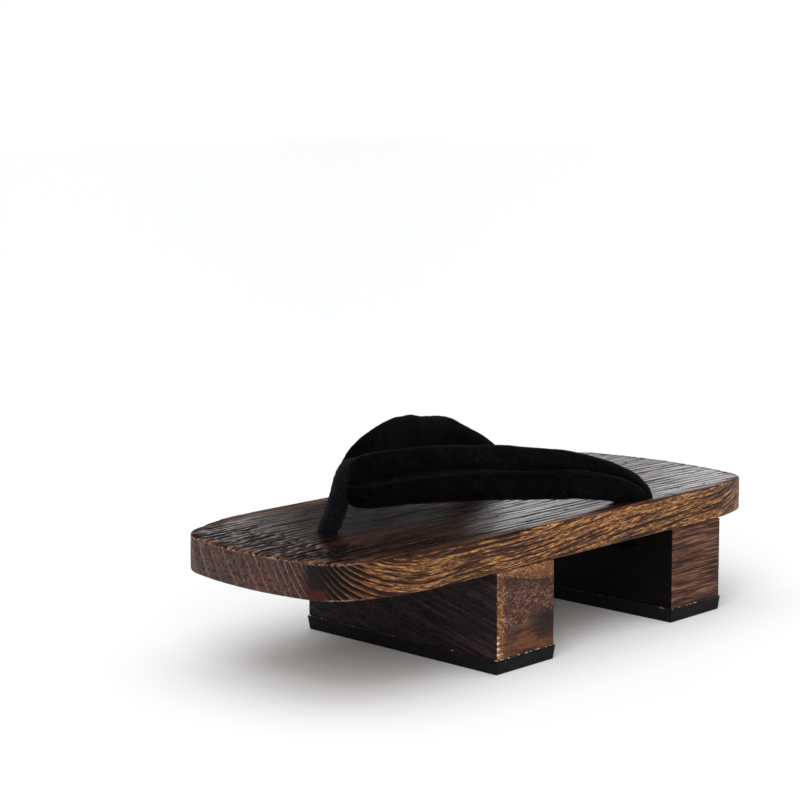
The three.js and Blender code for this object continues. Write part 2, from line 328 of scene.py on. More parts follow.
class Finish(Nodes):
    """A material under construction."""

    def __init__(self, name):
        self.material = bpy.data.materials.new(name)
        self.material.use_nodes = True
        super().__init__(self.material.node_tree)
        self.shader = self.tree.nodes["Principled BSDF"]

    def set(self, **inputs):
        for name, value in inputs.items():
            self.feed(self.shader.inputs[name.replace("_", " ")], value)

    def place(self):
        return self.add("ShaderNodeTexCoord").outputs["Object"]

    def axes(self):
        """The point's own x, y and z."""
        return self.add("ShaderNodeSeparateXYZ", {0: self.place()}).outputs[:3]

    def step(self, axis, low, high, to_low=0.0, to_high=1.0):
        """Changes smoothly between two places along an axis, in mm."""
        return self.between(self.axes()[axis], low * MM, high * MM, to_low, to_high)

    def value_of(self, name):
        return self.add("ShaderNodeAttribute", attribute_name=name).outputs["Fac"]

    def noise(self, vector, scale, detail, roughness, twist=0.0):
        made = self.add("ShaderNodeTexNoise", {
            "Vector": vector, "Scale": scale, "Detail": detail, "Roughness": roughness, "Distortion": twist,
        })
        return made.outputs["Fac"]

    def grain(self, per_mm, detail, roughness, twist=0.0, turn=(0, 0, 0)):
        """Noise drawn out by a different scale along each axis, after a turn."""
        turned = self.add("ShaderNodeMapping", {"Vector": self.place(), "Rotation": turn})
        scale = [c / MM for c in per_mm]
        drawn = self.add("ShaderNodeMapping", {"Vector": turned.outputs[0], "Scale": scale})
        return self.noise(drawn.outputs[0], 1, detail, roughness, twist)

    def figure(self, per_ring, along, across, detail, roughness, twist=0.0):
        """Noise that runs with the growth rings, so that markings follow the figure of the wood."""
        x, y, z = self.axes()
        level = self.times(z, self.step(X, -30, 30, -0.16 / MM, -0.45 / MM))
        layer = self.times(self.plus(self.value_of("ring"), level), per_ring)
        parts = {0: layer, 1: self.times(y, along / MM), 2: self.times(x, across / MM)}
        return self.noise(self.add("ShaderNodeCombineXYZ", parts).outputs[0], 1, detail, roughness, twist)

    def faces_along(self):
        """1 where the surface faces the toe or the heel, 0 where it faces sideways."""
        normal = self.add("ShaderNodeNewGeometry").outputs["Normal"]
        forward = self.add("ShaderNodeSeparateXYZ", {0: normal}).outputs[Y]
        return self.between(self.math("ABSOLUTE", forward), 0.3, 0.65)

    def mix(self, factor, a, b):
        made = self.add("ShaderNodeMix", data_type="RGBA", clamp_factor=True)
        self.feed(made.inputs[0], factor)
        self.feed(made.inputs[6], a)
        self.feed(made.inputs[7], b)
        return made.outputs[2]

    def relief(self, height, distance, strength=1.0):
        made = self.add("ShaderNodeBump", {"Height": height, "Distance": distance, "Strength": strength})
        return made.outputs[0]


# ---- Wood finishes ----

def burnt_top_finish():
    """The walked-on face: scorched nearly black, brushed, glossy, and worn brown at its rim."""
    wood = Finish("burnt_deck_top")
    fibres = wood.grain((1.3, 0.045, 1.3), 6, 0.7)
    pits = wood.grain((0.36, 0.1, 0.36), 3, 0.55, 0.8)
    near_toe = wood.step(Y, 75, 125)
    pores = wood.between(wood.plus(pits, wood.times(near_toe, 0.085)), 0.61, 0.665)
    tone = top_tone(wood, fibres, near_toe, pores)
    burnt = wood.curve(tone, [(0.05, "040203"), (0.45, "22110c"), (1.0, "5c3320")])
    worn = wood.curve(tone, [(0.0, "1a0e0a"), (0.45, "4a2c20"), (1.0, "966a4a")])
    wide = wood.times(wood.step(Y, 10, 60), wood.step(Y, 115, 95, 0, 4))
    edge = wood.minus(wood.plus(wood.value_of("rim"), wood.times(fibres, 5)), wide)
    lacquer = wood.times(
        wood.between(edge, 3.0, 7.5, 0.12, 0.95),
        wood.between(wood.value_of("hole"), 5, 7),
        wood.between(pores, 0, 1, 1.0, 0.2),
    )
    height = wood.minus(wood.times(fibres, 0.9), wood.times(pores, 0.7))
    wood.set(
        Base_Color=wood.mix(wood.between(edge, 3.2, 8.5, 1, 0), burnt, worn),
        Roughness=wood.between(tone, 0, 1, 0.55, 0.34),
        Normal=wood.relief(height, 0.5 * MM),
        IOR=1.5,
        Specular_IOR_Level=0.18,
        Coat_Weight=lacquer,
        Coat_Roughness=0.15,
        Coat_Normal=wood.relief(height, 0.1 * MM, 0.3),
    )
    return wood.material


def top_tone(wood, fibres, near_toe, pores):
    """How pale the scorched wood is, from 0 in its pits and grooves to 1. Contrast grows at the toe."""
    streaks = wood.grain((0.3, 0.01, 0.3), 5, 0.62, 0.5)
    tone = wood.times(wood.between(fibres, 0.36, 0.66), 0.42)
    tone = wood.plus(tone, wood.times(wood.between(streaks, 0.35, 0.65), 0.45))
    grooves = wood.times(wood.value_of("brushed"), wood.plus(0.3, wood.times(near_toe, 0.45)))
    tone = wood.plus(wood.minus(tone, grooves), wood.times(near_toe, 0.16), 0.1)
    return wood.minus(tone, wood.times(pores, 0.8), clamp=True)


def deck_edge_finish():
    """The board's sides, golden with dark streaks, and its sawn ends, mottled with a line at each ring."""
    wood = Finish("sawn_deck_edges")
    flecks = wood.figure(1.8, 0.042, 0.06, 4, 0.6, 0.35)
    streaks = wood.figure(0.85, 0.022, 0.03, 4, 0.62)
    phase, strength = growth_phase(wood, flecks, 0.5)
    corner = wood.times(wood.step(X, -35.5, -39.5), wood.step(Y, 98, 106))
    soft = wood.curve(phase, [(0, 0.5), (0.08, 1.0), (0.26, 0.4), (0.5, 0.0), (1, 0.0)])
    soft = wood.times(soft, wood.between(strength, 0.15, 0.8, 0.3, 1.0))
    wide = wood.curve(phase, [(0, 0.6), (0.08, 1.0), (0.42, 0.9), (0.7, 0.2), (1, 0.0)])
    dark = wood.plus(wood.times(streaks, 1.05), wood.times(flecks, 0.8), wood.times(soft, 0.16))
    # Round the left toe corner the early wood is painted darker: partly char, partly painted shadow cast by
    # the brushed ridges.
    dark = wood.between(wood.plus(dark, wood.times(soft, corner, 0.6)), 0.89, 1.06)
    end = end_grain(wood, phase, strength, wood.mix(corner, soft, wide), corner)
    on_the_ends = wood.math("MAXIMUM", wood.step(Y, 109.5, 114.5), wood.step(Y, -116, -121))
    height = wood.minus(wood.times(flecks, 0.8), wood.times(dark, 0.6))
    wood.set(
        Base_Color=wood.mix(on_the_ends, golden_side(wood, dark), end),
        Roughness=wood.between(flecks, 0.3, 0.7, 0.62, 0.42),
        Normal=wood.relief(height, 0.45 * MM),
        IOR=1.5,
        Specular_IOR_Level=0.16,
    )
    return wood.material


def growth_phase(wood, wander, amount):
    """The place in its ring, from soft early wood at 0 to hard late wood at 1, and the ring's strength."""
    ring = wood.plus(wood.value_of("ring"), wood.times(wood.minus(wander, 0.5), amount))
    number = wood.math("FLOOR", ring)
    strength = wood.add("ShaderNodeTexWhiteNoise", {"W": number}, noise_dimensions="1D").outputs["Value"]
    return wood.math("FRACT", ring), strength


def golden_side(wood, dark):
    """Gold glints under dark streaks, and browner towards the toe and the heel."""
    glints = wood.figure(4.2, 0.24, 0.3, 3, 0.66, 0.4)
    gold = [(0.0, "48281b"), (0.5, "82522f"), (1.0, "d49c60")]
    side = wood.mix(dark, wood.curve(wood.between(glints, 0.37, 0.65), gold), "280f0a")
    side = wood.mix(wood.step(Y, 55, 100, 0, 0.3), side, "2c1610")
    return wood.mix(wood.step(Y, -20, -80, 0, 0.13), side, "28100c")


def end_grain(wood, phase, strength, soft, corner):
    """Mottled wood with thin tan lines at the rings, and ridges and grooves round the left toe corner, the
    grooves painted near black: partly char, partly painted shadow of the ridges.
    """
    specks = wood.noise(wood.place(), 0.8 / MM, 5, 0.72)
    toe = wood.step(Y, 50, 100)
    scorched = wood.times(wood.step(X, -28, -32.5), toe)
    cut = mottled_cut(wood, specks, toe, scorched)
    ridge = wood.mix(wood.step(X, -41, -45.5), "211816", "603c24")
    cut = wood.mix(wood.times(wood.between(phase, 0.35, 0.75), corner), cut, ridge)
    line = wood.times(
        wood.curve(phase, [(0.0, 0.5), (0.06, 0.0), (0.84, 0.0), (0.94, 1.0), (1.0, 0.9)]),
        wood.between(strength, 0.2, 0.8, 0.35, 0.85),
        wood.between(specks, 0.3, 0.6, 0.35, 1.0),
        wood.step(X, 30, -20, 0.6, 1.0),
        wood.minus(1.0, wood.times(scorched, wood.between(corner, 1, 0, 0, 0.93))),
    )
    crest = wood.mix(wood.step(X, -28, -34), "94705e", "6e4c3e")
    crest = wood.mix(wood.step(X, -38, -43.5), crest, "b47c44")
    cut = wood.mix(line, cut, crest)
    # Near-black early wood, strongest round the left toe corner: partly char, partly painted shadow of the
    # ridges.
    cut = wood.mix(wood.times(soft, wood.between(corner, 0, 1, 0.3, 1.0)), cut, "080404")
    return pale_rims(wood, cut, specks, corner)


def mottled_cut(wood, specks, toe, scorched):
    """Speckled, clouded brown, scorched before the left toe corner, with rust low down there."""
    _, _, z = wood.axes()
    clouds = wood.noise(wood.place(), 0.13 / MM, 3, 0.55)
    cut = wood.mix(wood.between(specks, 0.38, 0.62), "2c1a16", "5e423a")
    cut = wood.mix(wood.between(clouds, 0.48, 0.62, 0, 0.55), cut, "343034")
    cut = wood.mix(wood.times(wood.step(X, -8, -28), toe, 0.35), cut, "1c1312")
    cut = wood.mix(wood.times(scorched, 0.88), cut, "0c0809")
    low_down = wood.between(z, UNDERSIDE + 5.5 * MM, UNDERSIDE + 3 * MM)
    return wood.mix(wood.times(wood.step(X, -26, -34), toe, low_down, 0.5), cut, "501f14")


def pale_rims(wood, cut, specks, corner):
    """A broken pinkish line along the top edge, and along the lower edge at the corner."""
    _, _, z = wood.axes()
    rims = wood.plus(
        wood.between(z, FOOTBED - 1.5 * MM, FOOTBED - 0.6 * MM),
        wood.times(wood.between(z, UNDERSIDE + 1.0 * MM, UNDERSIDE + 0.4 * MM), corner),
    )
    return wood.mix(wood.times(rims, wood.between(specks, 0.42, 0.58, 0, 0.7)), cut, "a8867a")


def front_tooth_finish():
    """Curly end grain on the tooth's sides, and dark long grain on its front and back."""
    wood = Finish("front_tooth_wood")
    swirl = wood.grain((0.26, 0.35, 0.52), 1, 0.4, 1.2)
    curls = wood.curve(swirl, [(0.39, 0.0), (0.44, 1.0), (0.48, 1.0), (0.53, 0.0)])
    grit = wood.noise(wood.place(), 1.1 / MM, 4, 0.7)
    cut = notched_corner(wood, curly_cut(wood, curls, grit))
    board = long_grain(wood, "0d090a", "211819", "382a2b")
    wood.set(
        Base_Color=wood.mix(wood.faces_along(), cut, board),
        Roughness=wood.between(swirl, 0.3, 0.7, 0.65, 0.48),
        Normal=wood.relief(wood.plus(curls, grit), 0.4 * MM, 0.9),
        IOR=1.5,
        Specular_IOR_Level=0.15,
    )
    return wood.material


def curly_cut(wood, curls, grit):
    """Brown, smoked at the back. Curls shine most on the front rim and on the cap under the deck."""
    low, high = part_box("front_tooth")
    _, y, z = wood.axes()
    patch = wood.times(
        wood.between(y, low.y + 19 * MM, low.y + 6 * MM),
        wood.between(z, low.z + 19 * MM, low.z + 13 * MM),
        wood.between(z, low.z + 3 * MM, low.z + 7 * MM),
    )
    drop = wood.minus(high.z, wood.plus(z, wood.times(wood.between(y, high.y, low.y), 4.4 * MM)))
    cap = wood.between(drop, 3.0 * MM, 2.4 * MM)
    rim = wood.between(y, high.y - 6 * MM, high.y - 3 * MM)
    bright = wood.math("MAXIMUM", cap, rim)
    bare = wood.times(wood.minus(1.0, patch), wood.between(z, low.z + 9 * MM, low.z + 14 * MM, 0.25, 1.0))
    shine = wood.times(curls, wood.math("MAXIMUM", wood.times(bare, 0.75), wood.times(bright, 0.9)))
    seam = wood.curve(wood.math("ABSOLUTE", wood.minus(drop, 3.1 * MM)), [(0.0, 1.0), (0.0005, 0.0)])
    cut = wood.mix(wood.between(grit, 0.36, 0.64), "2a140e", "5a392c")
    cut = foot_bands(wood, cut, low.z)
    cut = wood.mix(wood.times(patch, 0.8), cut, "1e181c")
    cut = wood.mix(wood.times(cap, 0.85), cut, "7a4a2c")
    cut = wood.mix(wood.times(rim, 0.5), cut, "744626")
    cut = wood.mix(shine, cut, wood.mix(bright, "94705c", "c4946a"))
    return wood.mix(wood.times(seam, 0.6), cut, "24120c")


def foot_bands(wood, cut, bottom):
    """Light and dark bands near the tooth's foot."""
    _, _, z = wood.axes()
    foot = wood.between(z, bottom + 13 * MM, bottom + 8 * MM)
    bands = wood.grain((0.1, 0.07, 0.6), 4, 0.6, 0.4)
    cut = wood.mix(wood.times(foot, wood.between(bands, 0.4, 0.6, 0, 0.8)), cut, "7a4a2e")
    return wood.mix(wood.times(foot, wood.between(bands, 0.42, 0.36, 0, 0.6)), cut, "2a1410")


def notched_corner(wood, cut):
    """Pale nicks, one above another, low down on the front tooth's front corner."""
    low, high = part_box("front_tooth")
    _, y, z = wood.axes()
    beat = wood.minus(wood.math("FRACT", wood.math("DIVIDE", z, 2.3 * MM)), 0.5)
    nicks = wood.times(
        wood.between(wood.math("ABSOLUTE", beat), 0.3, 0.1),
        wood.between(y, high.y - 2.2 * MM, high.y - 1.2 * MM),
        wood.between(z, low.z + 11 * MM, low.z + 8 * MM),
        wood.between(z, low.z + 1 * MM, low.z + 2.5 * MM),
    )
    return wood.mix(nicks, cut, "e8d2ac")


def rear_tooth_finish():
    """Fine level lines of end grain on the sides, and long grain painted nearly black on the front and
    back, as painted shade under the deck between the teeth.
    """
    wood = Finish("rear_tooth_wood")
    lines = wood.grain((0.3, 0.06, 1.6), 4, 0.7, 0.3)
    broad = wood.grain((0.1, 0.03, 0.45), 4, 0.6, 0.3)
    tone = wood.plus(wood.times(lines, 0.7), wood.times(broad, 0.3))
    stops = [(0.0, "22120d"), (0.5, "4c2f24"), (1.0, "8c6448")]
    cut = wood.curve(wood.between(tone, 0.36, 0.66), stops)
    # Painted shade: the broad faces are painted nearly black, far darker than the front tooth's, for the
    # shade under the deck.
    board = long_grain(wood, "020101", "050303", "0a0605")
    wood.set(
        Base_Color=wood.mix(wood.faces_along(), cut, board),
        Roughness=wood.between(lines, 0.3, 0.7, 0.65, 0.48),
        Normal=wood.relief(lines, 0.35 * MM, 0.9),
        IOR=1.5,
        Specular_IOR_Level=0.12,
    )
    return wood.material


def long_grain(wood, dark, middle, light):
    """Grain that runs across the sandal, for the broad faces of a tooth."""
    lines = wood.grain((0.035, 0.9, 0.9), 6, 0.7, 0.3, turn=(0, 0.25, 0))
    return wood.curve(wood.between(lines, 0.34, 0.68), [(0.0, dark), (0.5, middle), (1.0, light)])


# ---- Rubber, cloth and glue finishes ----

def rubber_finish():
    rubber = Finish("black_sheet_rubber")
    place = rubber.place()
    grit = rubber.noise(place, 2.6 / MM, 3, 0.6)
    dust = rubber.between(rubber.noise(place, 0.16 / MM, 5, 0.6), 0.5, 0.75)
    rubber.set(
        Base_Color=rubber.mix(dust, "070707", "121211"),
        Roughness=rubber.between(grit, 0.3, 0.7, 0.62, 0.8),
        Normal=rubber.relief(grit, 0.12 * MM, 0.5),
        IOR=1.5,
        Specular_IOR_Level=0.2,
    )
    return rubber.material


def velvet_finish(name, level):
    """Short black pile with a little lint. The sewn crease is painted black as painted shade, and the lobe
    below it lighter as a painted highlight. A lower level is darker, as painted shade.
    """
    velvet = Finish(name)
    place = velvet.place()
    pile = velvet.noise(place, 2.4 / MM, 4, 0.75)
    brushed = velvet.grain((0.3, 0.12, 0.12), 5, 0.6, 0.6)
    lint = velvet.between(velvet.noise(place, 0.9 / MM, 3, 0.65, 0.8), 0.62, 0.7, 0, 0.6)
    fluff = velvet.between(velvet.noise(place, 0.045 / MM, 3, 0.6), 0.4, 0.65, 0.2, 1.0)
    crease_shade_and_highlight = velvet.value_of("crease_shade_and_highlight")
    colour = velvet.mix(velvet.between(brushed, 0.4, 0.75), "020203", "070708")
    colour = velvet.mix(velvet.between(pile, 0.5, 0.75, 0, 0.6), colour, "111113")
    # Painted shade: a level below 1 darkens the colour towards black and weakens the sheen.
    colour = velvet.mix(1.0 - level, colour, "010101")
    colour = velvet.mix(velvet.times(lint, fluff), colour, "38383f")
    # Painted shade: the sewn crease goes black. Painted highlight: the lobe just below it goes lighter.
    colour = velvet.mix(velvet.between(crease_shade_and_highlight, 0.2, 0.9), colour, "000000")
    colour = velvet.mix(velvet.between(crease_shade_and_highlight, -0.2, -0.9, 0, 0.3), colour, "141417")
    velvet.set(
        Base_Color=colour,
        Roughness=1.0,
        Specular_IOR_Level=0.08,
        Sheen_Weight=0.05 * level,
        Sheen_Roughness=0.35,
        Sheen_Tint="c9ccd6",
        Normal=velvet.relief(velvet.plus(pile, velvet.times(brushed, 0.5)), 0.35 * MM, 0.8),
    )
    return velvet.material


def felt_finish(name, dark, middle, light, sheen):
    """Coarser, grainier cloth with short pale fibres, for the thong and the cord."""
    felt = Finish(name)
    place = felt.place()
    fibre = felt.noise(place, 1.7 / MM, 5, 0.75, 1.5)
    tufts = felt.noise(place, 0.9 / MM, 3, 0.65)
    colour = felt.mix(felt.between(tufts, 0.4, 0.7), dark, middle)
    colour = felt.mix(felt.between(fibre, 0.54, 0.72, 0, 0.8), colour, light)
    felt.set(
        Base_Color=colour,
        Roughness=1.0,
        Specular_IOR_Level=0.08,
        Sheen_Weight=sheen,
        Sheen_Roughness=0.4,
        Sheen_Tint="c9ccd6",
        Normal=felt.relief(felt.plus(fibre, tufts), 0.5 * MM, 0.9),
    )
    return felt.material


def glue_finish():
    """Dried glue: a broken cream line on the front tooth's sides, and only a few specks of it elsewhere."""
    glue = Finish("dried_glue")
    x, _, _ = glue.axes()
    patch = glue.noise(glue.place(), 0.42 / MM, 3, 0.6)
    side = glue.between(glue.math("ABSOLUTE", x), HALF_WIDTH - 2 * MM, HALF_WIDTH - 1 * MM)
    side = glue.times(side, glue.step(Y, -60, 10, 0.08, 0.17))
    shows = glue.between(glue.plus(patch, side), 0.62, 0.7)
    glue.set(
        Base_Color=glue.mix(shows, "1a1311", "b8a282"),
        Roughness=glue.between(patch, 0.3, 0.7, 0.35, 0.6),
        Normal=glue.relief(patch, 0.2 * MM, 0.6),
    )
    return glue.material


# ---- Growth rings and brush marks ----

def ring_count(across):
    """Rings passed so many mm across the board: about 11 mm apart on the right, 1.5 mm on the left."""
    uneven = 0.25 * noise.noise(Vector((across / 9, 3.1, 0)))
    return 0.085 * across + 1.6 - 1.65 * math.exp(-across / 22) + uneven


def deck_ring(place):
    """Nearly flat sheets that lean to the left, climb to the heel and waver along the board."""
    x, y, z = place / MM
    slow = noise.noise(Vector((x / 60, y / 62, z / 60)))
    quick = noise.noise(Vector((x / 14, y / 34, z / 14 + 9)))
    return ring_count(x - (z - FOOTBED / MM) / math.tan(RING_TILT) - 0.05 * y + 2.4 * slow + 0.7 * quick)


def brushed_line(place):
    """The lines that the brush followed on the top, some 3.5 mm apart."""
    x, y, _ = place / MM
    slow = noise.noise(Vector((x / 30, y / 90, 2.7)))
    quick = noise.noise(Vector((x / 7, y / 40, 8.1)))
    return (x + 3.4 * slow + 1.1 * quick) / 3.5


def front_tooth_ring(place):
    """Arcs round a heart below the tooth, running across it."""
    x, y, z = place / MM
    wave = noise.noise(Vector((x / 70, y / 16, z / 16)))
    reach = math.hypot(y - 12, z + 55) + 0.06 * x
    return (reach + 1.6 * wave) / 4.6


def rear_tooth_ring(place):
    """Nearly level sheets."""
    x, y, z = place / MM
    wave = noise.noise(Vector((x / 30, y / 30, z / 16 + 4)))
    return (z + 0.03 * y + 0.1 * x + 1.6 * wave) / 3.7


def drawn_noise(place, stretch, fineness):
    return noise.noise(Vector([fineness * c / MM / s for c, s in zip(place, stretch)]))


def groove(ring, place, stretch):
    """How deep the brush has cut, from 0 to 1: soft early wood most, and fine scratches everywhere."""
    phase = ring - math.floor(ring)
    early = math.exp(-((phase - 0.2) / 0.17) ** 2)
    worn = 0.5 + 1.1 * drawn_noise(place, stretch, 1)
    scratch = drawn_noise(place, stretch, 2.6)
    swell = drawn_noise(place, stretch, 0.45)
    return max(0.0, min(1.0, 0.75 * early * max(worn, 0) + 0.32 * scratch + 0.35 * swell + 0.2))


def deck_groove(ring, place):
    """Long grooves along the board, breaking into short deep gouges towards the toe."""
    long_cut = groove(ring, place, LONG_GROOVES)
    short_cut = groove(ring, place, SHORT_GROOVES)
    return long_cut + (short_cut - long_cut) * ramp(place.y / MM, 82, 108)


def brush(piece, ring_at, depth, groove_at, top_line_at=None):
    """Stores a wooden piece's growth rings and sinks its soft wood. The top may have lines of its own."""
    points = piece.data.vertices
    write_values(piece, "ring", [ring_at(v.co) for v in points])
    cuts = []
    for v in points:
        line_at = top_line_at if top_line_at and v.normal.z > 0.5 else ring_at
        cuts.append(groove_at(line_at(v.co), v.co))
    write_values(piece, "brushed", cuts)
    weigh(piece, "soft_wood", [cut * hardness(v) for cut, v in zip(cuts, points)])
    apply(piece, "DISPLACE", direction="NORMAL", mid_level=0, strength=-depth, vertex_group="soft_wood")


def hardness(vertex):
    """How hard a face was brushed: the toe's left corner most, then the top, and the underside hardly."""
    x, y, _ = vertex.co / MM
    up = vertex.normal.z
    if up > 0.5:
        return 0.4 + 0.6 * ramp(y, 88, 118)
    if up < -0.5:
        return 0.1
    return 0.25 + 0.75 * ramp(x, -34.5, -38.5) * ramp(y, 98, 106)


def measure_rim(board):
    """Stores how far each point lies from the outline and from the middle of the nearest hole, in mm."""
    points = board.data.vertices
    rim = [v.co for v in points if halfway_up(v.co) and to_hole(v.co) >= HOLE_WIDTH]
    tree = kdtree.KDTree(len(rim))
    for k, place in enumerate(rim):
        tree.insert((place.x, place.y, 0), k)
    tree.balance()
    write_values(board, "rim", [tree.find((v.co.x, v.co.y, 0))[2] / MM for v in points])
    write_values(board, "hole", [to_hole(v.co) / MM for v in points])


def halfway_up(place):
    """Between the eased edges, where a board has only its sides and the walls of its holes."""
    return UNDERSIDE + 2 * DECK_EASE < place.z < FOOTBED - 2 * DECK_EASE


def to_hole(place):
    return min(math.hypot(place.x - hole.x, place.y - hole.y) for hole in HOLES)


# ---- Deck ----

def touching_centre(a, b, radius):
    """Centre of a circle that touches two larger ones from inside. Each is (centre, radius)."""
    from_a = a[1] - radius
    from_b = b[1] - radius
    gap = b[0] - a[0]
    along = (from_a ** 2 - from_b ** 2 + gap.length_squared) / (2 * gap.length)
    away = math.sqrt(from_a ** 2 - along ** 2)
    run = gap.normalized()
    return a[0] + along * run + away * Vector((-run.y, run.x))


def end_arcs(end):
    """(centre, turn) of each arc of an end that points to +Y, from its middle round to the side."""
    shoulder = Vector((HALF_WIDTH - end["shoulder"], end["starts"]))
    middle = Vector((0, HALF_LENGTH - end["end"]))
    corner = touching_centre((shoulder, end["shoulder"]), (middle, end["end"]), end["corner"])
    leave = math.atan2(corner.y - shoulder.y, corner.x - shoulder.x)
    arrive = math.atan2(corner.y - middle.y, corner.x - middle.x)
    return [(middle, math.pi / 2 - arrive), (corner, arrive - leave), (shoulder, leave)]


def run_round(centre, turn):
    """Carries the outline's open end round an arc, clockwise as seen from above."""
    steps = max(4, math.ceil(turn / math.radians(3)))
    bpy.ops.mesh.spin(steps=steps, angle=turn, center=(centre.x, centre.y, UNDERSIDE), axis=(0, 0, 1))


def deck_outline():
    """A point carried round the right side from toe to heel, and mirrored."""
    put_down()
    bpy.ops.mesh.primitive_plane_add(size=MM, location=(0, HALF_LENGTH, UNDERSIDE))
    board = named("deck_board")
    edit(board)
    bpy.ops.mesh.merge(type="CENTER")
    for centre, turn in end_arcs(TOE_END):
        run_round(centre, turn)
    straight = -TOE_END["starts"] - HEEL_END["starts"]
    bpy.ops.mesh.extrude_region_move(TRANSFORM_OT_translate={"value": (0, straight, 0)})
    for centre, turn in reversed(end_arcs(HEEL_END)):
        run_round(Vector((centre.x, -centre.y)), turn)
    apply(board, "MIRROR", use_axis=(True, False, False), merge_threshold=OUTLINE_WELD)
    return board


def deck_board():
    board = deck_outline()
    edit(board)
    bpy.ops.mesh.remove_doubles(threshold=OUTLINE_WELD)
    bpy.ops.mesh.edge_face_add()
    bpy.ops.mesh.extrude_region_move(TRANSFORM_OT_translate={"value": (0, 0, FOOTBED - UNDERSIDE)})
    face_out(board)
    bore(board, HOLE_WIDTH, HOLES)
    edit(board)
    pick(board, "EDGE", rim_edge)
    ease(DECK_EASE, 3)
    slice_along(Y, -HALF_LENGTH, HALF_LENGTH, DECK_SLICES[Y])
    slice_along(Y, TOE_SLICES_FROM, TOE_SLICES_TO, TOE_SLICE)
    slice_along(Z, UNDERSIDE, FOOTBED, DECK_SLICES[Z])
    slice_along(X, -HALF_WIDTH, HALF_WIDTH, DECK_SLICES[X])
    put_down()
    brush(board, deck_ring, DECK_BRUSHED, deck_groove, brushed_line)
    measure_rim(board)
    smooth(board, 50)
    return board


def rim_edge(edge):
    """The outline's edges at the top and the underside, where one face lies flat and one stands."""
    if len(edge.link_faces) != 2:
        return False
    rises = sorted(abs(face.normal.z) for face in edge.link_faces)
    return rises[0] < 0.3 and rises[1] > 0.9


# ---- Teeth, treads and glue ----

def tooth_block(name, node, ring_at, stretch):
    low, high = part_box(node)
    tooth = block(name, low, high)
    edit(tooth)
    ease(TOOTH_EASE, 2)
    slice_box(low, high, TOOTH_SLICES)
    put_down()
    brush(tooth, ring_at, TOOTH_BRUSHED, lambda ring, place: groove(ring, place, stretch))
    smooth(tooth, 50)
    return tooth


def tread_slab(name, node):
    """A rubber slab drawn in towards the floor, its cut edges barely eased."""
    low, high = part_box(node)
    tread = block(name, low, high)
    edit(tread)
    pick(tread, "FACE", lambda face: face.normal.z < -0.9)
    bpy.ops.transform.resize(value=[1 - 2 * TREAD_TAPER / size for size in (high - low).xy] + [1])
    bpy.ops.mesh.select_all(action="SELECT")
    ease(TREAD_EASE, 2)
    slice_box(low, high, TREAD_SLICES)
    face_out(tread)
    smooth(tread, 40)
    return tread


def glue_bead(name, node):
    """Squeezed-out glue round the foot of a tooth, thick in places and nearly gone in others."""
    low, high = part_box(node)
    put_down()
    bpy.ops.mesh.primitive_plane_add(size=1, location=((low.x + high.x) / 2, (low.y + high.y) / 2, low.z))
    bpy.context.object.scale = (high.x - low.x, high.y - low.y, 1)
    bead = named(name)
    edit(bead)
    bpy.ops.mesh.delete(type="ONLY_FACE")
    bpy.ops.mesh.select_all(action="SELECT")
    bpy.ops.mesh.subdivide(number_cuts=70)
    take(bead)
    bpy.ops.object.convert(target="CURVE")
    bpy.context.object.data.bevel_depth = GLUE_RADIUS
    bpy.context.object.data.bevel_resolution = 1
    bpy.ops.object.convert(target="MESH")
    bead = bpy.context.object
    bead.name = name
    roughen(bead, name + "_lumps", GLUE_LUMPS, 0.58)
    smooth(bead, 180)
    return bead


# ---- Straps ----

# y and out place a section's centre in plan, and mid is its height above the footbed. Width runs across it,
# lean tips its top inward, and pitch turns it down into the deck. Crease is where the sewn crease lies,
# from -1 at the lower edge to 1 at the upper edge.
BAND_COLUMNS = ("y", "out", "mid", "width", "thick", "lean", "pitch", "crease")
LEFT_BAND = [
    (80.2, 3.4, 18.8, 10.0, 3.4, 2, 6, 0.0),
    (79.0, 3.8, 18.9, 15.0, 7.2, 2, 6, 0.0),
    (75.8, 4.6, 18.7, 19.6, 8.8, 4, 5, 0.0),
    (69.0, 7.4, 18.9, 21.8, 9.2, 9, 0, 0.0),
    (57.0, 12.2, 19.5, 22.2, 9.4, 16, 0, 0.0),
    (42.0, 18.0, 19.1, 22.9, 9.5, 22, 2, 0.02),
    (25.0, 24.2, 18.1, 23.0, 9.5, 26, 5, 0.05),
    (5.0, 30.8, 16.1, 21.9, 9.5, 26, 7, 0.1),
    (-15.0, 37.0, 13.4, 19.9, 9.5, 22, 10, 0.18),
    (-28.0, 40.6, 10.3, 17.5, 9.6, 15, 20, 0.28),
    (-37.4, 42.7, 7.3, 16.2, 9.6, 8, 39, 0.36),
    (-45.4, 43.9, 3.2, 16.6, 9.8, 4, 66, 0.4),
    (-48.8, 44.3, -0.8, 17.4, 9.8, 0, 90, 0.4),
]
